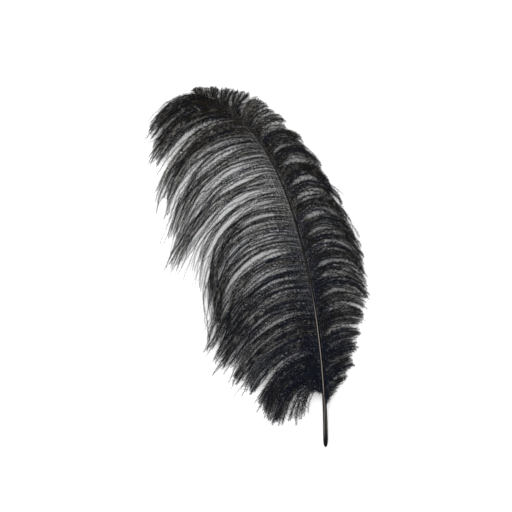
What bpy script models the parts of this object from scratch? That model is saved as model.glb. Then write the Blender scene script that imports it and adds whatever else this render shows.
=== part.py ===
"""An ostrich plume, lying on a flat surface with its upper side up.

The shaft is one grown piece: a bare, round-cornered quill that thins into the rachis and ends in a
hair. It bends slowly to the left along most of its length and quickly towards the tip, and it
arches off the surface between its two ends. The vanes beside it are plain closed solids that reach
the tips of the barbs. They are flat underneath, where the plume rests.

Plan: the quill's end is at the feather's own zero and points along -Y. The vanes lie in X and Y.
"""

import math

import bmesh
import bpy
from mathutils import Vector

# Shaft, in metres and degrees.
SHAFT_LENGTH = 0.418
QUILL_WIDTH = 0.0051
TIP_WIDTH = 0.0006
TAPER_POWER = 1.25
QUILL_POINT_LENGTH = 0.009
QUILL_POINT_WIDTH = 0.28
STEADY_TURN = 25.4
TIP_TURN = 53.5
TIP_TURN_POWER = 5.7
ARCH_HEIGHT = 0.010
ARCH_POWER = 1.3
SHAFT_STEPS = 76

# Shaft section, as fractions of its width.
SECTION_POINTS = 20
SQUARENESS = 2.6
GROOVE_DEPTH = 0.26
FURROW_DEPTH = 0.08
GROOVE_SPREAD = 0.30

# Vanes, in metres. A barb tip is the shaft fraction that the barb grows from, then its X and Y.
LEFT_BARB_TIPS = [
    (0.136, -0.013, 0.058),
    (0.180, -0.035, 0.018),
    (0.270, -0.079, 0.047),
    (0.400, -0.124, 0.092),
    (0.530, -0.133, 0.130),
    (0.600, -0.146, 0.165),
    (0.660, -0.166, 0.175),
    (0.760, -0.173, 0.254),
    (0.870, -0.184, 0.312),
    (0.940, -0.186, 0.346),
    (1.000, -0.158, 0.368),
]
RIGHT_BARB_TIPS = [
    (0.106, 0.007, 0.048),
    (0.150, 0.025, 0.070),
    (0.270, 0.035, 0.107),
    (0.400, 0.043, 0.156),
    (0.520, 0.040, 0.207),
    (0.650, 0.013, 0.259),
    (0.790, -0.027, 0.324),
    (0.900, -0.068, 0.363),
    (1.000, -0.128, 0.378),
]
RIM_THICKNESS = 0.0010
SHOULDER_POWER = 0.9
RIBS = 48
RIB_POINTS = 9
GAP = 0.0004
SHARP_EDGE = 35.0

COLLECTION = "ostrich_feather"


def clear_scene():
    for old in list(bpy.data.objects):
        bpy.data.objects.remove(old)


def collection(name):
    found = bpy.data.collections.new(name)
    bpy.context.scene.collection.children.link(found)
    return found


def material(name, colour, roughness):
    made = bpy.data.materials.new(name)
    made.use_nodes = True
    shader = made.node_tree.nodes["Principled BSDF"]
    shader.inputs["Base Color"].default_value = (*colour, 1.0)
    shader.inputs["Roughness"].default_value = roughness
    shader.inputs["Metallic"].default_value = 0.0
    return made


# The shaft's centre line


def heading(u):
    """The direction of the shaft at the fraction u of its length, in radians to the left of +Y."""
    return math.radians(STEADY_TURN * u + TIP_TURN * u**TIP_TURN_POWER)


def width(u):
    """The shaft's width: a rounded point at the quill's end, then a slow taper to the tip."""
    full = TIP_WIDTH + (QUILL_WIDTH - TIP_WIDTH) * (1 - u) ** TAPER_POWER
    inward = min(u * SHAFT_LENGTH / QUILL_POINT_LENGTH, 1.0)
    rounding = math.sqrt(inward * (2 - inward))
    return full * (QUILL_POINT_WIDTH + (1 - QUILL_POINT_WIDTH) * rounding)


def centre_line():
    """Points along the shaft's middle, from the quill's end to the tip."""
    step = SHAFT_LENGTH / SHAFT_STEPS
    place = Vector((0.0, 0.0, 0.0))
    points = []
    for i in range(SHAFT_STEPS + 1):
        u = i / SHAFT_STEPS
        lift = ARCH_HEIGHT * abs(math.sin(math.pi * u)) ** ARCH_POWER
        resting = QUILL_WIDTH / 2 * (1 - u) + TIP_WIDTH / 2 * u
        points.append(Vector((place.x, place.y, resting + lift)))
        turn = heading(u + 0.5 / SHAFT_STEPS)
        place += Vector((-math.sin(turn), math.cos(turn), 0.0)) * step
    return points


def on_shaft(points, u):
    """The point at the fraction u of the centre line."""
    along = min(u * SHAFT_STEPS, SHAFT_STEPS - 1e-6)
    i = int(along)
    return points[i].lerp(points[i + 1], along - i)


# Shaft


def section_curve(parts):
    """The shaft's section, one unit wide: rounded corners, a groove below and a furrow on top.

    It runs clockwise, which turns the swept surface outwards.
    """
    curve = bpy.data.curves.new("shaft_section", "CURVE")
    curve.dimensions = "2D"
    spline = curve.splines.new("POLY")
    spline.points.add(SECTION_POINTS - 1)
    for i, point in enumerate(spline.points):
        angle = -2 * math.pi * i / SECTION_POINTS
        across, up = math.cos(angle), math.sin(angle)
        square = (abs(across) ** SQUARENESS + abs(up) ** SQUARENESS) ** (-1 / SQUARENESS)
        dent = math.exp(-((across / GROOVE_SPREAD) ** 2))
        depth = GROOVE_DEPTH if up < 0 else FURROW_DEPTH
        radius = 0.5 * square * (1 - 2 * depth * dent)
        point.co = (radius * across, radius * up, 0.0, 1.0)
    spline.use_cyclic_u = True
    section = bpy.data.objects.new("shaft_section", curve)
    section.hide_render = True
    section.display_type = "WIRE"
    parts.objects.link(section)
    return section


def make_shaft(points, section, parts, finish):
    curve = bpy.data.curves.new("shaft", "CURVE")
    curve.dimensions = "3D"
    curve.twist_mode = "Z_UP"
    curve.bevel_mode = "OBJECT"
    curve.bevel_object = section
    curve.use_fill_caps = True
    spline = curve.splines.new("POLY")
    spline.points.add(len(points) - 1)
    for i, place in enumerate(points):
        spline.points[i].co = (*place, 1.0)
        spline.points[i].radius = width(i / SHAFT_STEPS)
    spline.use_smooth = True
    curve.materials.append(finish)
    shaft = bpy.data.objects.new("shaft", curve)
    parts.objects.link(shaft)
    return shaft


# Vanes


def smooth_through(table, t):
    """A smooth curve through the rows of a table, at the fraction t of its way."""
    rows = [Vector(row) for row in table]
    along = min(t * (len(rows) - 1), len(rows) - 1 - 1e-9)
    i = int(along)
    f = along - i
    a = rows[max(i - 1, 0)]
    b, c = rows[i], rows[i + 1]
    d = rows[min(i + 2, len(rows) - 1)]
    slope = c - a
    bend = 2 * a - 5 * b + 4 * c - d
    twist = 3 * b - a - 3 * c + d
    return b + (slope * f + bend * f**2 + twist * f**3) / 2


def rib_points(points, table, side, t):
    """One section of a vane, from the shaft to the barb tips: its lower points, then its upper."""
    u, tip_x, tip_y = smooth_through(table, t)
    u = min(max(u, 0.0), 1.0)
    middle = on_shaft(points, u)
    away = Vector((-math.cos(heading(u)), -math.sin(heading(u)), 0.0)) * side
    root = middle + away * (width(u) / 2 + GAP)
    shoulder = max(middle.z + width(u) / 4, RIM_THICKNESS)
    lower, upper = [], []
    for i in range(RIB_POINTS):
        f = i / (RIB_POINTS - 1)
        x = root.x + (tip_x - root.x) * f
        y = root.y + (tip_y - root.y) * f
        top = RIM_THICKNESS + (shoulder - RIM_THICKNESS) * (1 - f**SHOULDER_POWER)
        lower.append(Vector((x, y, 0.0)))
        upper.append(Vector((x, y, top)))
    return lower, upper


def make_vane(name, points, table, side, parts, finish):
    """A loft through the ribs of one vane, closed at both ends."""
    mesh = bpy.data.meshes.new(name)
    bm = bmesh.new()
    rings = []
    for i in range(RIBS):
        lower, upper = rib_points(points, table, side, i / (RIBS - 1))
        rings.append([bm.verts.new(p) for p in lower + upper[::-1]])
    for ring, after in zip(rings, rings[1:]):
        for j in range(len(ring)):
            k = (j + 1) % len(ring)
            bm.faces.new((ring[j], ring[k], after[k], after[j]))
    bm.faces.new(rings[0][::-1])
    bm.faces.new(rings[-1])
    bmesh.ops.recalc_face_normals(bm, faces=bm.faces)
    bm.to_mesh(mesh)
    bm.free()
    mesh.shade_smooth()
    mesh.set_sharp_from_angle(angle=math.radians(SHARP_EDGE))
    mesh.materials.append(finish)
    vane = bpy.data.objects.new(name, mesh)
    parts.objects.link(vane)
    return vane


def stand_on_origin(pieces, parts):
    """Moves the pieces together, so that their box has its bottom centre at the origin."""
    bpy.context.view_layer.update()
    depsgraph = bpy.context.evaluated_depsgraph_get()
    corners = []
    for piece in pieces:
        mesh = bpy.data.meshes.new_from_object(piece.evaluated_get(depsgraph))
        corners += [v.co.copy() for v in mesh.vertices]
        bpy.data.meshes.remove(mesh)
    low = Vector([min(c[i] for c in corners) for i in range(3)])
    high = Vector([max(c[i] for c in corners) for i in range(3)])
    base = bpy.data.objects.new("feather_base", None)
    base.location = (-(low.x + high.x) / 2, -(low.y + high.y) / 2, -low.z)
    parts.objects.link(base)
    for piece in pieces:
        piece.parent = base
    print("feather size in metres:", [round(v, 4) for v in high - low])


def main():
    clear_scene()
    parts = collection(COLLECTION)
    guides = collection("guides")
    quill_black = material("quill_black", (0.020, 0.017, 0.015), 0.35)
    barb_black = material("barb_black", (0.012, 0.012, 0.014), 0.65)
    points = centre_line()
    shaft = make_shaft(points, section_curve(guides), parts, quill_black)
    left = make_vane("left_vane", points, LEFT_BARB_TIPS, 1, parts, barb_black)
    right = make_vane("right_vane", points, RIGHT_BARB_TIPS, -1, parts, barb_black)
    stand_on_origin([shaft, left, right], parts)


main()
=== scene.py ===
# %% [markdown]
# # A black ostrich plume
#
# An ostrich plume is one grown thing: a shaft, and two vanes of loose barbs that hang from its sides.
# Other feathers zip their barbs together with tiny hooks. An ostrich has none, so every barb is free
# to droop and each carries a fringe of fine barbules. That is what makes a plume soft and see-through.
# The plume lies on its underside on a pale surface, and the camera looks straight down.
#
# The packed model gives the frame: the shaft, and a plain solid in the place of each vane.

# %% Frame
import math
from types import SimpleNamespace

import bpy
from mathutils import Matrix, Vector


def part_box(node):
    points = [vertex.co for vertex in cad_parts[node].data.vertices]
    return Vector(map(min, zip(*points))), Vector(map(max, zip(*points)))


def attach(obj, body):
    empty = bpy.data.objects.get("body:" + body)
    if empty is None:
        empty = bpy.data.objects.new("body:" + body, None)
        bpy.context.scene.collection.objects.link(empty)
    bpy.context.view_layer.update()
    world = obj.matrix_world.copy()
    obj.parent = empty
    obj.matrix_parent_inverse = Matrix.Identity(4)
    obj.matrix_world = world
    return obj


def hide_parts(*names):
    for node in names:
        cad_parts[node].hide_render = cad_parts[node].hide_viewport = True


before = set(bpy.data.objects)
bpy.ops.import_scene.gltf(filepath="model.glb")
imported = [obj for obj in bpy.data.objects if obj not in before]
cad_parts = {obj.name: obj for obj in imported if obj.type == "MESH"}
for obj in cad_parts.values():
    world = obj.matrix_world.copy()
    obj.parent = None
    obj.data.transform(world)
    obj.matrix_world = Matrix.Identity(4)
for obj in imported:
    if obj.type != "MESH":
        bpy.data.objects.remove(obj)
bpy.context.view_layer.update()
print("frame nodes:", sorted(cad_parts))

# %% [markdown]
# ## Writing node trees as sums
#
# Barbs, barbules and finishes are all node trees here. Placing nodes by hand hides what they work
# out, so one small class wraps an output socket. Plain arithmetic on it adds Math nodes, and any
# other node comes from its `add` method.

# %% Wire
def find(sockets, key):
    """A socket by its index, its identifier or its name."""
    if isinstance(key, int):
        return sockets[key]
    by_identifier = [s for s in sockets if s.identifier == key]
    by_name = [s for s in sockets if s.name == key and s.enabled]
    return (by_identifier or by_name)[0]


class Wire:
    """One output socket of a node tree, with arithmetic."""

    def __init__(self, tree, socket=None):
        self.tree = tree
        self.socket = socket

    def add(self, kind, settings=None, sockets=None, out=0):
        """Adds a node: its settings first, then the values or wires of its sockets."""
        node = self.tree.nodes.new(kind)
        for name, value in (settings or {}).items():
            if name == "stops":
                set_stops(node.color_ramp, value)
            elif name == "curve":
                set_curve(node.mapping, value)
            else:
                setattr(node, name, value)
        for key, value in (sockets or {}).items():
            for one in value if isinstance(value, list) else [value]:
                socket = find(node.inputs, key)
                if isinstance(one, Wire):
                    self.tree.links.new(one.socket, socket)
                else:
                    socket.default_value = one
        return Wire(self.tree, find(node.outputs, out))

    def also(self, name):
        """Another output of the same node."""
        return Wire(self.tree, find(self.socket.node.outputs, name))

    def maths(self, operation, *others):
        sockets = dict(enumerate((self, *others)))
        return self.add("ShaderNodeMath", {"operation": operation}, sockets)

    def vector(self, operation, *others, out=0):
        sockets = dict(enumerate((self, *others)))
        return self.add("ShaderNodeVectorMath", {"operation": operation}, sockets, out)

    def __add__(self, other):
        return self.maths("ADD", other)

    def __sub__(self, other):
        return self.maths("SUBTRACT", other)

    def __mul__(self, other):
        return self.maths("MULTIPLY", other)

    def __truediv__(self, other):
        return self.maths("DIVIDE", other)

    def __pow__(self, other):
        return self.maths("POWER", other)

    def __radd__(self, other):
        return self + other

    def __rmul__(self, other):
        return self * other

    def __rsub__(self, other):
        return self * -1.0 + other

    def __rtruediv__(self, other):
        return self**-1.0 * other


print("reflected sums that a wire knows:", [name for name in vars(Wire) if name.startswith("__r")])


# %% Curves and ramps
def set_curve(mapping, points):
    """Puts these points on a float curve, from left to right."""
    line = mapping.curves[0]
    while len(line.points) < len(points):
        line.points.new(0.5, 0.5)
    for point, (x, y) in zip(line.points, points):
        point.location = (x, y)
    mapping.update()


def set_stops(ramp, stops):
    """Puts these positions and colours on a colour ramp."""
    while len(ramp.elements) < len(stops):
        ramp.elements.new(0.5)
    for element, (place, colour) in zip(ramp.elements, stops):
        element.position = place
        element.color = colour


# %% Smooth lines
def scaled(wire, factor):
    """A vector made longer or shorter."""
    return wire.add("ShaderNodeVectorMath", {"operation": "SCALE"}, {0: wire, "Scale": factor})


def profile(along, points):
    """A smooth value drawn through points of (place from 0 to 1, value)."""
    low = min(y for _, y in points)
    span = max(y for _, y in points) - low
    drawn = [(x, (y - low) / span) for x, y in points]
    return along.add("ShaderNodeFloatCurve", {"curve": drawn}, {"Value": along}) * span + low


print("helpers ready:", scaled.__name__, "and", profile.__name__)

# %% [markdown]
# ## The shaft's line
#
# Everything grows from one line. It bends to the left slowly along most of the shaft and quickly
# near the tip, and it arches off the surface between the two ends. The same rule made the packed
# shaft, so the line is laid from that solid's own box.

# %% Shaft line
SHAFT_LENGTH = 0.418
QUILL_WIDTH = 0.0051
TIP_WIDTH = 0.0006
TAPER_POWER = 1.25
QUILL_POINT_LENGTH = 0.009
QUILL_POINT_WIDTH = 0.28
STEADY_TURN = math.radians(25.4)
TIP_TURN = math.radians(53.5)
TIP_TURN_POWER = 5.7
ARCH_HEIGHT = 0.010
ARCH_POWER = 1.3
LINE_STEPS = 220


def heading(u):
    return STEADY_TURN * u + TIP_TURN * u**TIP_TURN_POWER


def shaft_width(u):
    full = TIP_WIDTH + (QUILL_WIDTH - TIP_WIDTH) * (1 - u) ** TAPER_POWER
    inward = min(u * SHAFT_LENGTH / QUILL_POINT_LENGTH, 1.0)
    rounding = math.sqrt(inward * (2 - inward))
    return full * (QUILL_POINT_WIDTH + (1 - QUILL_POINT_WIDTH) * rounding)


def shaft_line():
    """Points along the middle of the shaft, from the quill's end to the tip."""
    low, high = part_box("shaft")
    place = Vector((high.x - QUILL_WIDTH / 2, low.y, 0.0))
    step = SHAFT_LENGTH / LINE_STEPS
    points = []
    for i in range(LINE_STEPS + 1):
        u = i / LINE_STEPS
        lift = ARCH_HEIGHT * abs(math.sin(math.pi * u)) ** ARCH_POWER
        resting = QUILL_WIDTH / 2 * (1 - u) + TIP_WIDTH / 2 * u
        points.append(Vector((place.x, place.y, resting + lift)))
        turn = heading(u + 0.5 / LINE_STEPS)
        place += Vector((-math.sin(turn), math.cos(turn), 0.0)) * step
    return points


def guide_curve(name, points):
    """A curve that the trees follow. Its radius is half the shaft's width."""
    curve = bpy.data.curves.new(name, "CURVE")
    curve.dimensions = "3D"
    curve.twist_mode = "Z_UP"
    spline = curve.splines.new("POLY")
    spline.points.add(len(points) - 1)
    for i, place in enumerate(points):
        spline.points[i].co = (*place, 1.0)
        spline.points[i].radius = shaft_width(i / (len(points) - 1)) / 2
    guide = bpy.data.objects.new(name, curve)
    bpy.context.collection.objects.link(guide)
    return guide


line = guide_curve("shaft_line", shaft_line())
line_end = line.data.splines[0].points[-1].co
packed_low, packed_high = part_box("shaft")
print("the line misses the packed tip by, in mm:",
      round((line_end.x - packed_low.x) * 1000, 2), "and", round((line_end.y - packed_high.y) * 1000, 2))

# %% [markdown]
# ## Geometry Nodes helpers
#
# A tree needs named inputs, a modifier that sets them by identifier, and a way to turn the result
# into a plain mesh, because an exported model keeps no modifiers and no instances.

# %% Tree helpers
SOCKETS = {float: "NodeSocketFloat", int: "NodeSocketInt", bpy.types.Object: "NodeSocketObject",
           bpy.types.Material: "NodeSocketMaterial"}


def start_tree(name, inputs):
    """A geometry tree with these named inputs. Returns the tree and a wire for each input."""
    tree = bpy.data.node_groups.new(name, "GeometryNodeTree")
    tree.interface.new_socket("Geometry", in_out="OUTPUT", socket_type="NodeSocketGeometry")
    for label, kind in inputs.items():
        tree.interface.new_socket(label, in_out="INPUT", socket_type=SOCKETS[kind])
    source = tree.nodes.new("NodeGroupInput")
    return tree, {label: Wire(tree, find(source.outputs, label)) for label in inputs}


def finish_tree(wire, material):
    """Realizes the instances, sets the material and leaves by the output."""
    real = wire.add("GeometryNodeRealizeInstances", {}, {"Geometry": wire})
    worn = real.add("GeometryNodeSetMaterial", {}, {"Geometry": real, "Material": material})
    leave = worn.tree.nodes.new("NodeGroupOutput")
    worn.tree.links.new(worn.socket, leave.inputs[0])


# %% Grow
def grow(name, tree, values):
    """Runs a tree with these input values and keeps the result as a plain mesh object."""
    holder = bpy.data.objects.new(name + "_holder", bpy.data.meshes.new(name + "_holder"))
    bpy.context.collection.objects.link(holder)
    modifier = holder.modifiers.new("grow", "NODES")
    modifier.node_group = tree
    for item in tree.interface.items_tree:
        if item.in_out == "INPUT" and item.name in values:
            modifier[item.identifier] = values[item.name]
    bpy.context.view_layer.update()
    ready = holder.evaluated_get(bpy.context.evaluated_depsgraph_get())
    mesh = bpy.data.meshes.new_from_object(ready)
    bpy.data.objects.remove(holder)
    mesh.name = name
    piece = bpy.data.objects.new(name, mesh)
    bpy.context.collection.objects.link(piece)
    mesh.calc_loop_triangles()
    print(name, "has", len(mesh.loop_triangles), "triangles")
    return piece


def store(wire, name, kind, domain, value):
    """Keeps a value on the geometry under a name."""
    return wire.add("GeometryNodeStoreNamedAttribute", {"data_type": kind, "domain": domain},
                    {"Geometry": wire, "Name": name, "Value": value})


# %% [markdown]
# ## Finishes
#
# The plume is dyed black, and dye never takes evenly: some barbs come out blue-black, others brown,
# and the ends are a little washed out. The barbs near the quill lean to blue and those near the tip
# to brown. Here and there a bunch of barbules is painted pale, as a painted glint where light would catch
# it.
#
# Each barb carries its own place on the vane as a UV map: its number across, and its length along.
# The finish reads that map, so that one barb has one tint. Barbules are matt and far smaller than any
# highlight, so the sheen is turned almost off.

# %% Finish helpers
def new_finish(name):
    """A material with only its shader and output, and a wire to add nodes with."""
    material = bpy.data.materials.new(name)
    material.use_nodes = True
    tree = material.node_tree
    return material, tree.nodes["Principled BSDF"], Wire(tree)


def plug(wire, shader, name):
    wire.tree.links.new(wire.socket, shader.inputs[name])


def mixed(factor, first, second):
    """Two colours mixed by a factor."""
    return factor.add("ShaderNodeMix", {"data_type": "RGBA"},
                      {"Factor_Float": factor, "A_Color": first, "B_Color": second}, "Result_Color")


print("finish helpers:", new_finish.__name__, plug.__name__, "and", mixed.__name__)

# %% Barb finish
BARBS_IN_VANE = 370
BLUE_BLACK = (0.0045, 0.0070, 0.0165, 1)
NEUTRAL_BLACK = (0.0050, 0.0050, 0.0054, 1)
BROWN_BLACK = (0.0130, 0.0105, 0.0060, 1)
WASHED_END = (0.030, 0.027, 0.022, 1)
# the pale grey below is a painted glint, the light that catches a bunch of barbules
PAINTED_GLINT = (0.260, 0.248, 0.225, 1)
DRIFT, OWN_LUCK, BROWNER_UPWARDS = 0.55, 0.45, 0.3
WASHED_AT_END = 0.3
BUNCHES_ON_BARB = 48.0
BARB_SAYS, BUNCH_SAYS = 0.45, 0.55
GLINT_FROM, GLINT_SHARPNESS = 0.77, 8.0
DULLEST, OWN_SHINE = 0.70, 0.16


def clamped(wire):
    """A value kept between 0 and 1."""
    return wire.maths("MAXIMUM", 0.0).maths("MINIMUM", 1.0)


def barb_tint(strand, across, luck):
    """Blue, neutral or brown black, by slow drifts over the vane and by the barb's own luck."""
    drift = strand.add("ShaderNodeTexNoise", {"noise_dimensions": "2D"}, {"Vector": strand, "Scale": 9.0})
    choice = drift * DRIFT + luck * OWN_LUCK + (across - 0.55) * BROWNER_UPWARDS
    stops = [(0.32, BLUE_BLACK), (0.50, NEUTRAL_BLACK), (0.70, BROWN_BLACK)]
    return drift.add("ShaderNodeValToRGB", {"stops": stops}, {0: choice})


def painted_glint_bunches(number, along, luck):
    """How far each little bunch of barbules is painted with a pale glint: most of them not at all."""
    bunch = (along * BUNCHES_ON_BARB).maths("FLOOR")
    bunch = bunch.add("ShaderNodeCombineXYZ", {}, {0: number, 1: bunch})
    bunch_luck = bunch.add("ShaderNodeTexWhiteNoise", {"noise_dimensions": "2D"}, {"Vector": bunch}, "Value")
    pale = (luck * BARB_SAYS + bunch_luck * BUNCH_SAYS - GLINT_FROM) * GLINT_SHARPNESS
    away_from_shaft = along * 4.0 - 0.3
    return clamped(pale) * clamped(away_from_shaft)


def barb_finish():
    material, shader, start = new_finish("dyed_barb")
    strand = start.add("ShaderNodeUVMap", {"uv_map": "strand"})
    across = strand.add("ShaderNodeSeparateXYZ", {}, {0: strand})
    along = across.also("Y")
    number = (across * BARBS_IN_VANE).maths("FLOOR")
    luck = number.add("ShaderNodeTexWhiteNoise", {"noise_dimensions": "1D"}, {"W": number}, "Value")
    washed = mixed(along**2 * WASHED_AT_END, barb_tint(strand, across, luck), WASHED_END)
    # the painted glints are laid over the dyed tint
    plug(mixed(painted_glint_bunches(number, along, luck), washed, PAINTED_GLINT), shader, "Base Color")
    plug(DULLEST - luck * OWN_SHINE, shader, "Roughness")
    shader.inputs["Specular IOR Level"].default_value = 0.10
    return material


barb_black = barb_finish()
print("finish made:", barb_black.name)

# %% [markdown]
# ## The shaft
#
# The shaft is hard keratin like a fingernail, round-cornered, with a deep groove below and a shallow
# furrow on top. A curve with a plain round bevel would make a wire of it. So a tree shapes a ring of
# points into the section and sweeps it along the shaft's line, thinning as the line's radius does.
# It also stores where each point lies on the section and along the shaft, for the finish to read.

# %% Shaft tree
SECTION_POINTS = 28
SHAFT_INPUTS = {
    "Shaft": bpy.types.Object, "Section points": int, "Squareness": float, "Groove depth": float,
    "Furrow depth": float, "Groove spread": float, "Finish": bpy.types.Material,
}


def shaft_section(given):
    """The ring that is swept: rounded corners, a groove below and a furrow on top."""
    ring = given["Shaft"].add("GeometryNodeCurvePrimitiveCircle", {},
                              {"Resolution": given["Section points"], "Radius": 1.0})
    place = ring.add("GeometryNodeInputPosition")
    parts = ring.add("ShaderNodeSeparateXYZ", {}, {0: place})
    across, up = parts, parts.also("Y") * -1.0  # the sweep lays the ring's own +Y downwards
    power = given["Squareness"]
    square = (across.maths("ABSOLUTE") ** power + up.maths("ABSOLUTE") ** power) ** (-1.0 / power)
    dent = (across / given["Groove spread"]) ** 2.0
    dent = (dent * -1.0).maths("EXPONENT")
    below = up.maths("LESS_THAN", 0.0)
    depth = below * given["Groove depth"] + (1.0 - below) * given["Furrow depth"]
    radius = square * (1.0 - dent * depth * 2.0) * 0.5
    ring = ring.add("GeometryNodeSetPosition", {}, {"Geometry": ring, "Position": scaled(place, radius)})
    return store(ring, "section", "FLOAT_VECTOR", "POINT", place.vector("MULTIPLY", (1.0, -1.0, 1.0)))


def shaft_tree():
    tree, given = start_tree("grow_shaft", SHAFT_INPUTS)
    line = given["Shaft"].add("GeometryNodeObjectInfo", {"transform_space": "ORIGINAL"},
                              {"Object": given["Shaft"]}, "Geometry")
    factor = line.add("GeometryNodeSplineParameter", {}, {}, "Factor")
    line = store(line, "along", "FLOAT", "POINT", factor)
    swept = line.add("GeometryNodeCurveToMesh", {}, {
        "Curve": line, "Profile Curve": shaft_section(given),
        "Scale": line.add("GeometryNodeInputRadius") * 2.0, "Fill Caps": True})
    swept = swept.add("GeometryNodeSetShadeSmooth", {}, {"Geometry": swept, "Shade Smooth": True})
    finish_tree(swept, given["Finish"])
    return tree


print("the shaft's section has", SECTION_POINTS, "points")

# %% [markdown]
# ## The shaft's finish
#
# The dye leaves the shaft nearly black. The light that its glossy top would catch is painted into
# its colour as one thin pale line, a painted highlight. Along the bare quill that line is split in
# two. It is brightest low down, almost lost halfway up, and shows again near the tip. Fine streaks
# run lengthwise everywhere, as the grain in a quill does.

# %% Quill finish
QUILL_DARK = (0.0018, 0.0016, 0.0016, 1)
# the pale colour below is a painted highlight, the light on the shaft's glossy top; the list after it
# says how strong it is along the shaft
QUILL_HIGHLIGHT = (0.34, 0.31, 0.29, 1)
LINE_BRIGHTNESS = [
    (0, 0), (0.02, 0.06), (0.05, 0.36), (0.09, 0.38), (0.12, 0.44), (0.16, 0.85), (0.28, 0.95),
    (0.36, 0.50), (0.46, 0.14), (0.62, 0.12), (0.76, 0.40), (0.92, 0.55), (1, 0.3)]
SPLIT_TOP = 0.14
SPLIT_SPREAD = 3.2
SECOND_LINE_END = 0.125
LINE_LEFT = 0.10
MAIN_SHARPNESS, SECOND_SHARPNESS = 8.0, 9.0
SMOOTHEST, GRAIN_ROUGHNESS = 0.34, 0.22


def painted_highlight_lines(across, up, along, grain):
    """The painted highlight on top of the shaft, and the second painted line beside it on the bare quill.
    """
    split = (SPLIT_TOP - along).maths("MAXIMUM", 0.0) * SPLIT_SPREAD
    main = 1.0 - ((across + LINE_LEFT + split * 0.3) * MAIN_SHARPNESS).maths("ABSOLUTE")
    second = 1.0 - ((across - split) * SECOND_SHARPNESS).maths("ABSOLUTE")
    second = second * (along * 60.0).maths("MINIMUM", 1.0) * along.maths("LESS_THAN", SECOND_LINE_END)
    pale = main.maths("MAXIMUM", second * 0.6).maths("MAXIMUM", 0.0)
    # the painted highlight goes on the upper half only, the side that faces the light
    pale = pale * up.maths("GREATER_THAN", 0.0) * profile(along, LINE_BRIGHTNESS)
    return (pale * (0.75 + grain * 0.5)).maths("MINIMUM", 1.0)


def quill_finish():
    material, shader, start = new_finish("dyed_quill")
    section = start.add("ShaderNodeAttribute", {"attribute_name": "section"}, {}, "Vector")
    along = start.add("ShaderNodeAttribute", {"attribute_name": "along"}, {}, "Fac")
    across = section.add("ShaderNodeSeparateXYZ", {}, {0: section})
    up = across.also("Y")
    stretched = across.add("ShaderNodeCombineXYZ", {}, {0: across * 5.0, 1: up * 5.0, 2: along * 14.0})
    grain = section.add("ShaderNodeTexNoise", {"noise_dimensions": "3D"},
                        {"Vector": stretched, "Scale": 1.0, "Detail": 3.0})
    # the painted highlight lines are laid over the dark dye
    plug(mixed(painted_highlight_lines(across, up, along, grain), QUILL_DARK, QUILL_HIGHLIGHT), shader, "Base Color")
    plug(SMOOTHEST + grain * GRAIN_ROUGHNESS, shader, "Roughness")
    shader.inputs["Specular IOR Level"].default_value = 0.05
    bump = grain.add("ShaderNodeBump", {}, {"Height": grain, "Strength": 0.25, "Distance": 0.0003})
    plug(bump, shader, "Normal")
    return material


quill_black = quill_finish()
print("finish made:", quill_black.name)

# %% Shaft
shaft = grow("plume_shaft", shaft_tree(), {
    "Shaft": line, "Section points": SECTION_POINTS, "Squareness": 2.6, "Groove depth": 0.26,
    "Furrow depth": 0.08, "Groove spread": 0.30, "Finish": quill_black})
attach(shaft, "root")
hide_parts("shaft")

# %% [markdown]
# ## How the vanes grow
#
# Each row below is the habit of the barbs at one place on the shaft. A barb leaves the shaft at its
# launch angle and turns outwards and down by its turn, and its end may flick back up. Droop says where
# on the barb the turning happens: under 1 near the shaft, over 1 near the end. Fullness is how long
# its barbules are. The rows are few, because smooth lines are drawn through them. So a whole vane is
# combed through these rows, and no single barb is.

# %% Left habit
HABIT_COLUMNS = ("place", "length", "launch", "turn", "droop", "flick", "fullness")

# fraction of the shaft, mm, degrees, degrees, a power, degrees, a factor
LEFT_HABIT = [
    (0.135, 34, 62, 128, 0.45, 0, 1.20),
    (0.150, 64, 66, 118, 0.50, 0, 1.40),
    (0.170, 80, 68, 106, 0.58, 0, 1.45),
    (0.200, 86, 72, 94, 0.66, 6, 1.40),
    (0.250, 99, 75, 86, 0.75, 14, 1.22),
    (0.300, 112, 75, 84, 0.80, 20, 1.12),
    (0.360, 131, 73, 90, 0.85, 34, 1.00),
    (0.420, 146, 70, 102, 0.88, 44, 0.96),
    (0.480, 157, 66, 110, 0.90, 26, 0.84),
    (0.540, 160, 62, 117, 0.92, 0, 0.78),
    (0.600, 153, 58, 114, 0.88, 0, 0.72),
    (0.640, 156, 55, 96, 0.66, 0, 0.68),
    (0.680, 167, 53, 80, 0.50, 0, 0.66),
    (0.730, 163, 49, 86, 0.55, 0, 0.72),
    (0.780, 149, 46, 90, 0.68, 0, 0.88),
    (0.830, 138, 42, 88, 0.80, 6, 1.05),
    (0.880, 115, 35, 78, 0.90, 10, 1.13),
    (0.930, 95, 27, 74, 0.98, 16, 1.18),
    (1.000, 56, 13, 60, 1.00, 14, 1.10),
]
print("left barbs, length in mm:", [row[1] for row in LEFT_HABIT])

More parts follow.
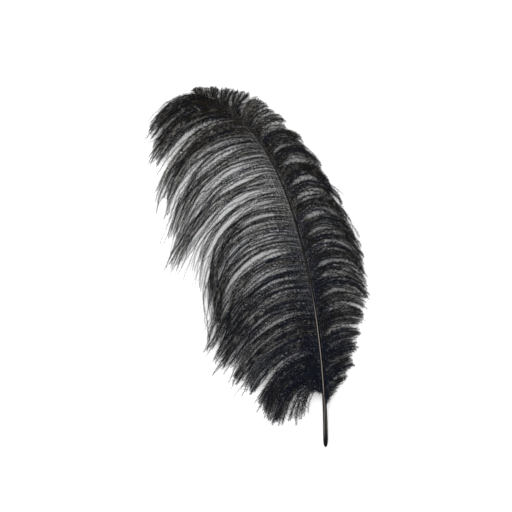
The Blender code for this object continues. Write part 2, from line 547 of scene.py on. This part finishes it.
# %% Right habit
RIGHT_HABIT = [
    (0.105, 10, 10, 30, 0.90, 0, 1.00),
    (0.120, 27, 16, 66, 1.00, 0, 1.10),
    (0.150, 35, 32, 58, 1.00, 2, 1.25),
    (0.200, 38, 44, 54, 1.00, 6, 1.30),
    (0.270, 47, 50, 68, 1.05, 8, 1.28),
    (0.350, 60, 52, 92, 1.05, 4, 1.22),
    (0.430, 70, 52, 112, 1.05, 0, 1.18),
    (0.520, 75, 50, 124, 1.00, 0, 1.14),
    (0.600, 71, 47, 134, 0.95, 0, 1.14),
    (0.680, 64, 42, 142, 0.90, 0, 1.20),
    (0.760, 50, 34, 138, 0.85, 0, 1.36),
    (0.800, 41, 32, 118, 0.90, 0, 1.40),
    (0.840, 35, 34, 92, 1.00, 0, 1.36),
    (0.885, 27, 38, 60, 1.10, 0, 1.30),
    (0.940, 16, 42, 36, 1.20, 0, 1.30),
    (1.000, 7, 20, 10, 1.00, 0, 1.10),
]
print("right barbs, length in mm:", [row[1] for row in RIGHT_HABIT])

# %% [markdown]
# ## Partings
#
# A plume also parts. Barbs cling together in locks, a lock runs from one parting to the next, and
# light shows between two locks. The barbs at the sides of a lock are shorter than those in its
# middle, so that it ends in a point. Notches say how much shorter. The left vane has four deep ones,
# where the real plume is ragged.

# %% Partings
LEFT_PARTINGS = [
    0.135, 0.236, 0.268, 0.304, 0.338, 0.385, 0.412, 0.452, 0.492, 0.530, 0.585, 0.622, 0.650,
    0.700, 0.728, 0.778, 0.796, 0.820, 0.838, 0.862, 0.884, 0.925, 0.952, 1.0]
RIGHT_PARTINGS = [
    0.105, 0.146, 0.190, 0.236, 0.272, 0.328, 0.362, 0.410, 0.438, 0.480, 0.520, 0.560, 0.612,
    0.648, 0.700, 0.738, 0.790, 0.822, 0.866, 0.900, 0.935, 0.965, 1.0]

# fraction of the shaft, and the share of its length that a barb at the side of a lock lacks
LEFT_NOTCHES = [
    (0.135, 0.12), (0.400, 0.14), (0.450, 0.24), (0.520, 0.14), (0.600, 0.12), (0.630, 0.42),
    (0.660, 0.14), (0.735, 0.14), (0.757, 0.30), (0.775, 0.12), (0.792, 0.30), (0.820, 0.12),
    (0.862, 0.34), (0.880, 0.14), (1.000, 0.18)]
RIGHT_NOTCHES = [(0.105, 0.10), (0.150, 0.22), (0.260, 0.14), (0.500, 0.12), (1.000, 0.14)]
print("locks:", len(LEFT_PARTINGS) - 1, "on the left and", len(RIGHT_PARTINGS) - 1, "on the right")


def column(habit, name):
    """One column of a habit, as points to draw a line through."""
    number = HABIT_COLUMNS.index(name)
    return [(row[0], row[number]) for row in habit]


# %% [markdown]
# ## Chance
#
# Chance keeps barbs from looking like the teeth of a comb. It comes in two kinds: a luck that a barb,
# a tuft or a lock keeps all along, from Random Value with its number as the ID, and smooth noise that
# changes along the way. Both give the same plume on every run. Odd factors such as 3.3 only keep the
# noise of neighbours apart, and each draw has a seed of its own.

# %% Chance
def chance(wire, identity, seed, low=0.0, high=1.0):
    """A random value that stays the same for the same identity and seed."""
    return wire.add("FunctionNodeRandomValue", {"data_type": "FLOAT"},
                    {"Min_001": low, "Max_001": high, "ID": identity, "Seed": seed}, "Value_001")


def ripple(wire, scale, shift):
    """Smooth noise between about -0.5 and 0.5, along one value."""
    return wire.add("ShaderNodeTexNoise", {"noise_dimensions": "1D"},
                    {"W": wire * scale + shift, "Scale": 1.0, "Detail": 1.0}) - 0.5


def waver(across, along):
    """Smooth noise over two values, mostly between 0 and 2 and about 1 on average."""
    place = across.add("ShaderNodeCombineXYZ", {}, {0: across, 1: along})
    noise = across.add("ShaderNodeTexNoise", {"noise_dimensions": "2D"},
                       {"Vector": place, "Scale": 1.0, "Detail": 1.0}, "Fac")
    return noise * 4.0 - 1.0


print("kinds of chance:", chance.__name__, ripple.__name__, "and", waver.__name__)

# %% [markdown]
# ## The barb tree
#
# Each vane gets a tree of its own, from one function that reads its habit. The tree could place a
# curve for each barb, but the bend of a barb depends on where it is, and that is easier for points.
# So it makes one flat list of points, with the same number for each barb, and each point asks which
# barb it is on and how far along. The first job is to turn a point's index into those two answers.

# %% Barb numbers
VANE_INPUTS = {
    "Shaft": bpy.types.Object, "First barb": int, "Barbs": int, "Barbs in vane": int, "Steps": int,
    "Side": float, "Seed": int, "Start": float, "End": float, "Crowding": float,
    "Lock pull": float, "Lock fade": float, "Lock spread": float, "Tufts": float, "Tuft pull": float,
    "Barb width": float, "Arch": float, "Tip height": float,
    "Barbule spacing": float, "Barbule length": float, "Barbule width": float,
    "Barbule angle": float, "Thorn spacing": float, "Finish": bpy.types.Material,
}
OFF_PLACE = 0.45  # of the way to the next barb
ROUNDING = 0.0001  # keeps a whole number from falling just short


def number_barbs(given):
    """Each point's row and barb, how far along the barb it lies, and where the barb grows."""
    steps = given["Steps"]
    index = steps.add("GeometryNodeInputIndex")
    row = (index / (steps + 1.0) + ROUNDING).maths("FLOOR")
    t = (index - row * (steps + 1.0)) / steps
    barb = row + given["First barb"]
    off_place = chance(barb, barb, given["Seed"], -OFF_PLACE, OFF_PLACE)
    place = (barb + 0.5 + off_place) / given["Barbs in vane"]
    own_u = given["Start"] + (given["End"] - given["Start"]) * place**given["Crowding"]
    return SimpleNamespace(row=row, barb=barb, t=t, place=place, own_u=own_u)


print("the vane tree has", len(VANE_INPUTS), "inputs")

# %% [markdown]
# ## Clinging
#
# With no hooks to hold them, the barbs of a plume still cling by their fluff: a few at a time in
# tufts, and dozens at a time in locks. The tree slides each barb towards the middle of its lock and
# its tuft. It does so most at a third of the way out, which is where the long bright gaps open. A few
# strays are held by nothing.

# %% Clinging
GATHER = [(0, 0), (0.10, 0.12), (0.32, 0.92), (0.62, 0.66), (1, 0.50)]
SHARE_HELD = 0.96
FADE_POWER = 10.0
WEAKEST_LOCK, WEAKEST_TUFT = 0.25, 0.4
UNEVEN_TUFTS = 2.6


def lock_of(u, partings):
    """The lock that the shaft fraction u is in, its middle, and how far off it u is, from -1 to 1."""
    count = len(partings) - 1
    number = profile(u, [(edge, i) for i, edge in enumerate(partings)]).maths("MINIMUM", count - 0.001)
    lock = number.maths("FLOOR")
    middle = profile((lock + 0.5) / count, [(i / count, edge) for i, edge in enumerate(partings)])
    return lock, middle, (number - lock) * 2.0 - 1.0


def cling(given, at, partings):
    """Draws barbs together. at.u is then the place on the shaft that the point keeps to."""
    seed = given["Seed"]
    at.lock, middle, at.off_lock = lock_of(at.own_u, partings)
    at.lock_luck = chance(at.lock, at.lock, seed + 11.0)
    tuft_at = at.place * given["Tufts"] + ripple(at.place, 31.0, 8.1) * UNEVEN_TUFTS
    tuft = tuft_at.maths("FLOOR")
    at.tuft_luck = chance(tuft, tuft, seed + 12.0)
    to_tuft = (tuft + 0.5 - tuft_at) / given["Tufts"] * (given["End"] - given["Start"])
    at.stray = chance(at.barb, at.barb, seed + 13.0).maths("GREATER_THAN", SHARE_HELD)
    gather = profile(at.t, GATHER) * (1.0 - at.stray)
    lock_waver = waver(at.lock * 3.3, at.t * 2.5) * 0.6 + 0.4
    tuft_waver = waver(tuft * 5.1, at.t * 5.0)
    strength = WEAKEST_LOCK + at.lock_luck * (1.0 - WEAKEST_LOCK)
    pull = gather * given["Lock pull"] * strength * lock_waver
    pull = pull * (1.0 - at.own_u**FADE_POWER * given["Lock fade"])
    strength = WEAKEST_TUFT + at.tuft_luck * (1.0 - WEAKEST_TUFT)
    fine_pull = gather * given["Tuft pull"] * strength * tuft_waver
    u = at.own_u + (middle - at.own_u) * pull + to_tuft * fine_pull
    at.u = u.maths("MAXIMUM", given["Start"]).maths("MINIMUM", given["End"])


print("barbs that cling, in percent:", 100 * SHARE_HELD)

# %% [markdown]
# ## Drooping
#
# A barb is limp, so it sets out one way and is bent another by its own weight. The tree works out the
# angle from the shaft at every step: the habit's launch, plus its turn, less its flick near the end.
# Chance is added for the lock, for the tuft and for the barb itself.

# %% Drooping
TUFT_LEAN = 12.0
BARB_LEAN = 3.5
STRAY_LEAN = (-20.0, 15.0)
SHARED_WAVER = 4.0
OWN_WAVER = 11.0


def find_shaft(given, at):
    """Where the shaft is beside this point, half its width there, and its direction seen from above."""
    shaft = at.u.add("GeometryNodeObjectInfo", {"transform_space": "ORIGINAL"},
                     {"Object": given["Shaft"]}, "Geometry")
    at.root = at.u.add("GeometryNodeSampleCurve", {"mode": "FACTOR"}, {
        "Curves": shaft, "Factor": at.u, "Value": at.u.add("GeometryNodeInputRadius")}, "Position")
    at.half_width = at.root.also("Value")
    at.forward = at.root.also("Tangent").vector("MULTIPLY", (1.0, 1.0, 0.0)).vector("NORMALIZE")


def turned(wire, angle):
    """A direction turned about the vertical."""
    return wire.add("ShaderNodeVectorRotate", {"rotation_type": "Z_AXIS"},
                    {"Vector": wire, "Angle": angle})


def droop(given, at, habit):
    """at.step is the way that the barb goes at this point."""
    seed = given["Seed"]
    bend = at.t ** profile(at.u, column(habit, "droop"))
    lean = profile(at.u, column(habit, "launch")) + profile(at.u, column(habit, "turn")) * bend
    lean = lean - profile(at.u, column(habit, "flick")) * at.t**4.0
    lean = lean + (at.lock_luck - 0.5) * given["Lock spread"] * bend
    lean = lean + (at.tuft_luck - 0.5) * TUFT_LEAN * bend
    lean = lean + chance(at.barb, at.barb, seed + 14.0, -BARB_LEAN, BARB_LEAN)
    lean = lean + at.stray * chance(at.barb, at.barb, seed + 15.0, *STRAY_LEAN) * bend
    shared = waver(at.lock * 3.7 + at.barb * 0.13, at.t * 3.0) - 1.0
    alone = waver(at.barb * 7.3, at.t * 7.0) - 1.0
    lean = lean + shared * SHARED_WAVER * bend + alone * OWN_WAVER * (0.3 + at.t * 0.7)
    at.step = turned(at.forward, lean * given["Side"] * (math.pi / 180))


print("a barb wavers by about", OWN_WAVER, "degrees on its own and", SHARED_WAVER, "with its lock")

# %% [markdown]
# ## Walking out along a barb
#
# Knowing the direction of every step, Accumulate Field adds the steps up, one barb at a time, and
# that is the barb seen from above. Its height comes apart from that: it leaves the side of the
# shaft, humps up a little, and comes down close to the surface that the plume lies on.

# %% Walking
MILLIMETRE = 0.001
LOWEST = 0.2 * MILLIMETRE
LOCK_POINTEDNESS = 1.8
OWN_LENGTH = (0.90, 1.04)
TUFT_LENGTH = 0.06
STRAY_EXTRA = 0.08
ROOT_INSIDE = 0.8
FALL = [(0, 0), (0.25, 0.10), (0.6, 0.62), (1, 1)]
HEIGHT_CHANCE = 0.9 * MILLIMETRE
LOW_TIP, LOCK_LIFT, TUFT_LIFT = 0.35, 1.1, 0.6
LOW_HUMP, TUFT_HUMP = 0.5, 0.7


def walk(given, at, habit, notches):
    """at.plan is the point seen from above, and at.length is its barb's length."""
    pointed = 1.0 - at.off_lock.maths("ABSOLUTE") ** LOCK_POINTEDNESS * profile(at.own_u, notches)
    length = profile(at.own_u, column(habit, "length")) * MILLIMETRE * pointed
    length = length * (1.0 + (at.tuft_luck - 0.5) * TUFT_LENGTH)
    length = length * chance(at.barb, at.barb, given["Seed"] + 16.0, *OWN_LENGTH)
    at.length = length * (1.0 + at.stray * STRAY_EXTRA)
    walked = scaled(at.step, at.length / given["Steps"])
    reached = walked.add("GeometryNodeAccumulateField", {"data_type": "FLOAT_VECTOR"},
                         {"Value": walked, "Group Index": at.row}, "Trailing")
    side = scaled(turned(at.forward, given["Side"] * (math.pi / 2)), at.half_width * ROOT_INSIDE)
    at.plan = at.root.vector("ADD", side).vector("ADD", reached)


def rise(given, at):
    """at.spot is the point with its height."""
    root_z = at.root.add("ShaderNodeSeparateXYZ", {}, {0: at.root}, "Z") + at.half_width * 0.5
    tip_z = given["Tip height"] * (LOW_TIP + at.lock_luck * LOCK_LIFT + at.tuft_luck * TUFT_LIFT)
    fall = profile(at.t, FALL)
    hump = (at.t * math.pi).maths("SINE") * given["Arch"] * (LOW_HUMP + at.tuft_luck * TUFT_HUMP)
    own = chance(at.barb, at.barb, given["Seed"] + 17.0, -HEIGHT_CHANCE, HEIGHT_CHANCE)
    height = root_z * (1.0 - fall) + tip_z * fall + hump + own * at.t
    plan_parts = at.plan.add("ShaderNodeSeparateXYZ", {}, {0: at.plan})
    at.spot = at.plan.add("ShaderNodeCombineXYZ", {}, {
        0: plan_parts, 1: plan_parts.also("Y"), 2: height.maths("MAXIMUM", LOWEST * 3)})


print("nothing of a barb comes lower than", round(LOWEST * 1000, 2), "mm")

# %% [markdown]
# ## From points to barbs
#
# Points to Curves joins the points of each row into one curve. Two things are stored on the points
# first, because the later nodes know nothing of rows: a tag with the barb's number, the place along
# it and its length, and how full its barbules are.

# %% Barb curves
TUFT_FULLNESS, STRAY_BARENESS = 0.3, 0.6


def barb_curves(given, habit, partings, notches):
    at = number_barbs(given)
    cling(given, at, partings)
    find_shaft(given, at)
    droop(given, at, habit)
    walk(given, at, habit, notches)
    rise(given, at)
    count = given["Barbs"] * (given["Steps"] + 1.0)
    points = count.add("GeometryNodePoints", {}, {"Count": count})
    points = points.add("GeometryNodeSetPosition", {}, {"Geometry": points, "Position": at.spot})
    tag = at.t.add("ShaderNodeCombineXYZ", {}, {
        0: (at.barb + 0.5) / given["Barbs in vane"], 1: at.t, 2: at.length})
    full = profile(at.own_u, column(habit, "fullness"))
    full = full * (1.0 + (at.tuft_luck - 0.5) * TUFT_FULLNESS)
    full = full * (1.0 - at.stray * at.t * STRAY_BARENESS)
    for name, kind, value in (("tag", "FLOAT_VECTOR", tag), ("fullness", "FLOAT", full)):
        points = points.add("GeometryNodeStoreNamedAttribute", {"data_type": kind, "domain": "POINT"},
                            {"Geometry": points, "Name": name, "Value": value})
    return points.add("GeometryNodePointsToCurves", {}, {
        "Points": points, "Curve Group ID": at.row, "Weight": at.t})


print("the end of a stray barb has", 1 - STRAY_BARENESS, "times the usual barbules")

# %% [markdown]
# ## Barbules
#
# Each barb carries a fringe of barbules on both edges. There are far too many to model one by one, so
# one fine spike stands for a few, and Instance on Points sets it along the barb. Barbules cling too,
# and their ends meet in small thorns. That grit is what keeps a plume from looking like combed hair.
# So a spike aims at the middle of its thorn, and all the spikes of a thorn share their luck.

# %% Thorns
ROOT_TO_TIP = [(0, 0.22), (0.07, 0.55), (0.18, 0.92), (0.45, 1.0), (0.8, 0.85), (1, 0.40)]
EXTRA_AT_ROOT = [(0, 0.50), (0.08, 0.40), (0.18, 0.12), (0.30, 0), (1, 0)]
THORN_LENGTHS = (0.45, 1.25)
SPIKE_LENGTHS = (0.85, 1.15)
NUMBERS_FOR_BARB = 311.0  # more than there are thorns on both edges of one barb


def thorns_on(curves, given, tag):
    """The beads along the barbs that the spikes grow from, and what each bead knows."""
    parts = curves.add("ShaderNodeSeparateXYZ", {}, {0: tag})
    on = SimpleNamespace(place=parts, t=parts.also("Y"))
    on.beads = curves.add("GeometryNodeCurveToPoints", {"mode": "LENGTH"},
                          {"Curve": curves, "Length": given["Barbule spacing"]}, "Points")
    on.bead = on.beads.add("GeometryNodeInputIndex")
    on.hand = on.bead.maths("MODULO", 2.0) * 2.0 - 1.0
    walked = on.t * parts.also("Z") / given["Thorn spacing"] + on.hand * 0.25
    thorn = walked.maths("FLOOR")
    on.to_middle = (thorn + 0.5 - walked) * given["Thorn spacing"]
    barb = (parts * given["Barbs in vane"]).maths("FLOOR")
    on.thorn = barb * NUMBERS_FOR_BARB + thorn * 2.0 + on.hand
    return on


def spike_length(given, on):
    """Shorter at the barb's root and tip. Near the plume's tip the roots are barest."""
    seed = given["Seed"]
    fullness = on.beads.add("GeometryNodeInputNamedAttribute", {}, {"Name": "fullness"})
    along = profile(on.t, ROOT_TO_TIP) + profile(on.t, EXTRA_AT_ROOT) * (1.0 - on.place**3.0)
    length = given["Barbule length"] * fullness * along
    length = length * chance(on.thorn, on.thorn, seed + 21.0, *THORN_LENGTHS)
    return length * chance(on.bead, on.bead, seed + 22.0, *SPIKE_LENGTHS)


print("barbules at the middle of a barb:", ROOT_TO_TIP[3][1], "times full length")

# %% [markdown]
# ## Aiming the barbules
#
# A spike's direction is a mix of three: ahead along the barb, out to its own side, and a little up or
# down, so that the fringe is round and not flat. Cross products give the last two from the first.

# %% Aiming
CLOSEST, WIDEST = 0.985, -0.5  # cosines of the smallest and largest angles from the barb
ANGLE_AT_ROOT, ANGLE_LOST = 1.15, 0.55
THORN_ANGLES = (0.5, 1.5)
THORN_ROLL, SPIKE_ROLL = 0.8, 0.2


def spike_aim(given, on, length):
    """The direction of each spike."""
    seed = given["Seed"]
    ahead = on.beads.also("Tangent")
    angle = given["Barbule angle"] * (ANGLE_AT_ROOT - on.t * ANGLE_LOST)
    angle = angle * chance(on.thorn, on.thorn, seed + 23.0, *THORN_ANGLES)
    closing = angle.maths("COSINE") + on.to_middle / length
    sweep = closing.maths("MINIMUM", CLOSEST).maths("MAXIMUM", WIDEST).maths("ARCCOSINE")
    roll = chance(on.thorn, on.thorn, seed + 24.0, -THORN_ROLL, THORN_ROLL)
    roll = roll + chance(on.bead, on.bead, seed + 25.0, -SPIKE_ROLL, SPIKE_ROLL)
    beside = ahead.vector("CROSS_PRODUCT", (0.0, 0.0, 1.0)).vector("NORMALIZE")
    above = beside.vector("CROSS_PRODUCT", ahead)
    away = scaled(beside, roll.maths("COSINE") * on.hand).vector("ADD", scaled(above, roll.maths("SINE")))
    return scaled(away, sweep.maths("SINE")).vector("ADD", scaled(ahead, sweep.maths("COSINE")))


def barbules_on(curves, given, tag, own_place):
    """One open three-sided spike, set on every bead."""
    on = thorns_on(curves, given, tag)
    length = spike_length(given, on)
    aim = spike_aim(given, on, length)
    rotation = aim.add("FunctionNodeAlignRotationToVector", {"axis": "Z"}, {"Vector": aim})
    half = given["Barbule width"] * 0.5
    spike = curves.add("GeometryNodeMeshCone", {"fill_type": "NONE"},
                       {"Vertices": 3, "Radius Top": 0.0, "Radius Bottom": 1.0, "Depth": 1.0}, "Mesh")
    spike = store(spike, "own", "FLOAT_VECTOR", "POINT", own_place)
    set_out = on.beads.add("GeometryNodeInstanceOnPoints", {}, {
        "Points": on.beads, "Instance": spike, "Rotation": rotation,
        "Scale": length.add("ShaderNodeCombineXYZ", {}, {0: half, 1: half, 2: length})})
    return set_out.add("GeometryNodeRealizeInstances", {}, {"Geometry": set_out})


print("widest angle of a barbule from its barb:", round(math.degrees(math.acos(WIDEST))), "degrees")

# %% [markdown]
# ## The whole vane
#
# A barb's own shaft is a thin three-sided tube that tapers to its end: seen from arm's length a
# rounder one looks no different, and there are hundreds. Tubes and spikes are joined, nothing is let
# below the table, and every barb gets its own narrow strip of a UV map, which the finish reads.

# %% Vane tree
BARB_TAPER = 0.72
STRIP_START, STRIP_LENGTH = 0.005, 0.99
FIBRE_ACROSS, FIBRE_ALONG = 0.42, 0.003


def barb_tubes(curves, given, tag_parts, own_place):
    thickness = given["Barb width"] * 0.5 * (1.0 - tag_parts.also("Y") * BARB_TAPER)
    ring = curves.add("GeometryNodeCurvePrimitiveCircle", {}, {"Resolution": 3, "Radius": 1.0})
    ring = store(ring, "own", "FLOAT_VECTOR", "POINT", own_place)
    return curves.add("GeometryNodeCurveToMesh", {}, {
        "Curve": curves, "Profile Curve": ring, "Scale": thickness, "Fill Caps": True})


def strips(both, given, tag_parts):
    """A UV map: the barb's number across, the place along it up, and a little of a fibre's own shape."""
    own = both.add("GeometryNodeInputNamedAttribute", {"data_type": "FLOAT_VECTOR"}, {"Name": "own"})
    own_parts = own.add("ShaderNodeSeparateXYZ", {}, {0: own})
    uv = both.add("ShaderNodeCombineXYZ", {}, {
        0: tag_parts + own_parts * FIBRE_ACROSS / given["Barbs in vane"],
        1: tag_parts.also("Y") * STRIP_LENGTH + STRIP_START + own_parts.also("Y") * FIBRE_ALONG})
    for name in ("strand", "OFBake"):
        both = store(both, name, "FLOAT2", "CORNER", uv)
    return both


def vane_tree(name, habit, partings, notches):
    """A tree that grows the barbs of one vane from its habit and its partings."""
    tree, given = start_tree(name, VANE_INPUTS)
    curves = barb_curves(given, habit, partings, notches)
    place = curves.add("GeometryNodeInputPosition")
    tag = curves.add("GeometryNodeInputNamedAttribute", {"data_type": "FLOAT_VECTOR"}, {"Name": "tag"})
    parts = curves.add("ShaderNodeSeparateXYZ", {}, {0: tag})
    tubes = barb_tubes(curves, given, parts, place)
    barbules = barbules_on(curves, given, tag, place)
    both = tubes.add("GeometryNodeJoinGeometry", {}, {"Geometry": [tubes, barbules]})
    xyz = both.add("ShaderNodeSeparateXYZ", {}, {0: place})
    risen = xyz.add("ShaderNodeCombineXYZ", {}, {
        0: xyz, 1: xyz.also("Y"), 2: xyz.also("Z").maths("MAXIMUM", LOWEST)})
    both = both.add("GeometryNodeSetPosition", {}, {"Geometry": both, "Position": risen})
    both = strips(both, given, parts)
    both = both.add("GeometryNodeSetShadeSmooth", {}, {"Geometry": both, "Shade Smooth": True})
    finish_tree(both, given["Finish"])
    return tree


print("a barb's end is", round(1 - BARB_TAPER, 2), "times as thick as its root")

# %% [markdown]
# ## Growing the vanes
#
# A vane is grown in a few stretches, each from one barb number to the next, because a very large
# mesh is slow to draw and to save. The seed stays the same, so the stretches meet with no seam. Each
# stretch replaces the plain solid of its vane and rides on the only body that the plume has.

# %% Vanes
COMMON = {
    "Shaft": line, "Steps": 20, "Barbs in vane": BARBS_IN_VANE, "Finish": barb_black, "End": 1.0,
    "Barb width": 0.00040, "Arch": 0.005, "Tip height": 0.002, "Barbule spacing": 0.00022,
    "Barbule length": 0.0046, "Barbule width": 0.00030, "Barbule angle": 0.75, "Thorn spacing": 0.0026,
}
LEFT = COMMON | {
    "Side": 1.0, "Seed": 5, "Start": 0.135, "Crowding": 1.08, "Tufts": 136.0, "Tuft pull": 0.95,
    "Lock pull": 0.32, "Lock fade": 0.1, "Lock spread": 8.0}
RIGHT = COMMON | {
    "Side": -1.0, "Seed": 8, "Start": 0.105, "Crowding": 1.04, "Tufts": 122.0, "Tuft pull": 0.95,
    "Lock pull": 0.54, "Lock fade": 0.8, "Lock spread": 10.0}
left_tree = vane_tree("grow_left_vane", LEFT_HABIT, LEFT_PARTINGS, LEFT_NOTCHES)
right_tree = vane_tree("grow_right_vane", RIGHT_HABIT, RIGHT_PARTINGS, RIGHT_NOTCHES)
print("nodes in a vane tree:", len(left_tree.nodes))

# %% Stretches
STRETCHES = [
    ("left_barbs_low", left_tree, LEFT, 0, 118, "left_vane"),
    ("left_barbs_middle", left_tree, LEFT, 118, 204, "left_vane"),
    ("left_barbs_high", left_tree, LEFT, 204, 284, "left_vane"),
    ("left_barbs_top", left_tree, LEFT, 284, BARBS_IN_VANE, "left_vane"),
    ("right_barbs_low", right_tree, RIGHT, 0, 190, "right_vane"),
    ("right_barbs_top", right_tree, RIGHT, 190, BARBS_IN_VANE, "right_vane"),
]
for name, tree, values, first, last, node in STRETCHES:
    piece = grow(name, tree, values | {"First barb": first, "Barbs": last - first})
    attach(piece, "root")
    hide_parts(node)
bpy.data.objects.remove(line)

# %% [markdown]
# ## The surface
#
# A feather can't stand, so it lies on a plain pale surface. One large square is enough. It is only
# the stage and isn't part of the plume.

# %% Surface
REACH = 3.0
PALE = 0.93

floor_mesh = bpy.data.meshes.new("floor")
corners = [(-REACH, -REACH, 0), (REACH, -REACH, 0), (REACH, REACH, 0), (-REACH, REACH, 0)]
floor_mesh.from_pydata(corners, [], [(0, 1, 2, 3)])
floor = bpy.data.objects.new("floor", floor_mesh)
bpy.context.collection.objects.link(floor)
floor_finish, floor_shader, _ = new_finish("pale_floor")
floor_shader.inputs["Base Color"].default_value = (PALE, PALE, PALE, 1)
floor_shader.inputs["Roughness"].default_value = 0.9
floor_mesh.materials.append(floor_finish)
print("floor:", 2 * REACH, "m wide")

# %% [markdown]
# ## Light
#
# Black fluff shows its shape by the light that comes through it, so the light is mostly an even
# white from all round, as in a light tent. One large soft lamp above the top left gives the barbs a
# lit side and a shaded side.

# %% Light
SKY_STRENGTH = 1.4
LAMP_POWER = 12.0
LAMP_SIZE = 0.9
LAMP_PLACE = (-0.6, 0.9, 1.1)

world = bpy.data.worlds.new("studio")
world.use_nodes = True
sky = world.node_tree.nodes["Background"]
sky.inputs["Color"].default_value = (1, 1, 1, 1)
sky.inputs["Strength"].default_value = SKY_STRENGTH
bpy.context.scene.world = world

lamp = bpy.data.lights.new("window", "AREA")
lamp.energy = LAMP_POWER
lamp.size = LAMP_SIZE
window = bpy.data.objects.new("window", lamp)
window.location = LAMP_PLACE
window.rotation_euler = (-Vector(LAMP_PLACE)).to_track_quat("-Z", "Y").to_euler()
bpy.context.collection.objects.link(window)
print("lamp of", LAMP_POWER, "W at", LAMP_PLACE)

# %% [markdown]
# ## Camera
#
# The camera is high up and looks straight down, so that the plume is seen flat, with little
# perspective. A camera with no rotation already looks along -Z. Its lens follows from how wide a
# piece of the surface it has to see from that height. The Standard view keeps blacks black.

# %% Camera
VIEW_WIDTH = 0.538
CAMERA_PLACE = (-0.0011, 0.0115, 2.2)

camera = bpy.data.cameras.new("camera")
camera.sensor_width = 36.0
camera.lens = camera.sensor_width * CAMERA_PLACE[2] / VIEW_WIDTH
viewer = bpy.data.objects.new("camera", camera)
viewer.location = CAMERA_PLACE
bpy.context.collection.objects.link(viewer)
bpy.context.scene.camera = viewer
bpy.context.scene.view_settings.view_transform = "Standard"
print("lens:", round(camera.lens, 1), "mm")

# %% [markdown] ## The plume and its solids A few wisps reach past the plain solids that they
# replace, and the fluff stands a few millimetres above them.
